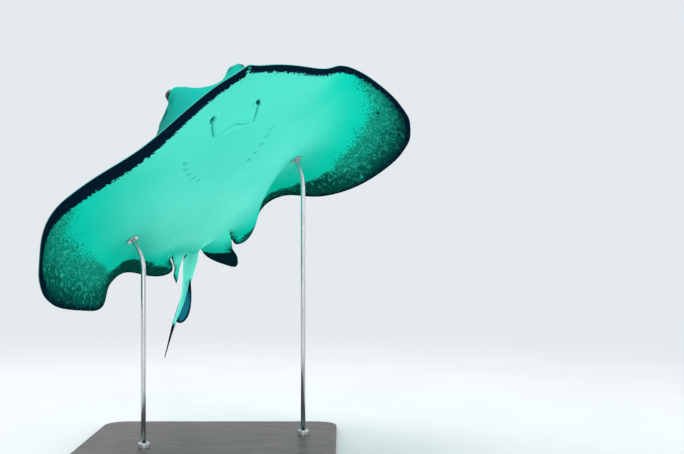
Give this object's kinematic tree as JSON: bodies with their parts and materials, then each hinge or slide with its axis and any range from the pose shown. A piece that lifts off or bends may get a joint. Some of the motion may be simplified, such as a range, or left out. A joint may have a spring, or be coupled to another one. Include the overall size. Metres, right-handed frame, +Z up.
{
  "type": "southern stingray model",
  "caption": "Life-size still model of a southern stingray gliding nose up with its fins half lowered, held over a flat base by slim bent rods.",
  "frame": {"origin": "middle of the stand base's underside", "axes": "+Z up, +X and +Y along the base's long and short sides; the ray's snout points to -Y, up and a little to +X, and its tail runs to +Y"},
  "size_m": [0.8698, 1.9912, 0.9538],
  "materials": {
    "skin": "satin",
    "fin_margin": "satin",
    "eye": "gloss",
    "sting": "satin",
    "base": "satin",
    "steel": "satin"
  },
  "bodies": {
    "root": {"head": "skin", "trunk": "skin", "rump": "skin", "pectoral_fin_left": "skin", "pectoral_fin_right": "skin", "pelvic_fin_left": "skin", "pelvic_fin_right": "skin", "eye_left": "eye", "eye_right": "eye", "tail_base": "skin", "tail_middle": "skin", "tail_whip": "skin", "tail_fold": "fin_margin", "tail_keel": "fin_margin", "tail_sting": "sting", "stand_base": "base", "stand_pad_left": "steel", "stand_pad_right": "steel", "stand_rod_left": "steel", "stand_rod_right": "steel", "stand_collar_left": "steel", "stand_collar_right": "steel"}
  },
  "joints": []
}
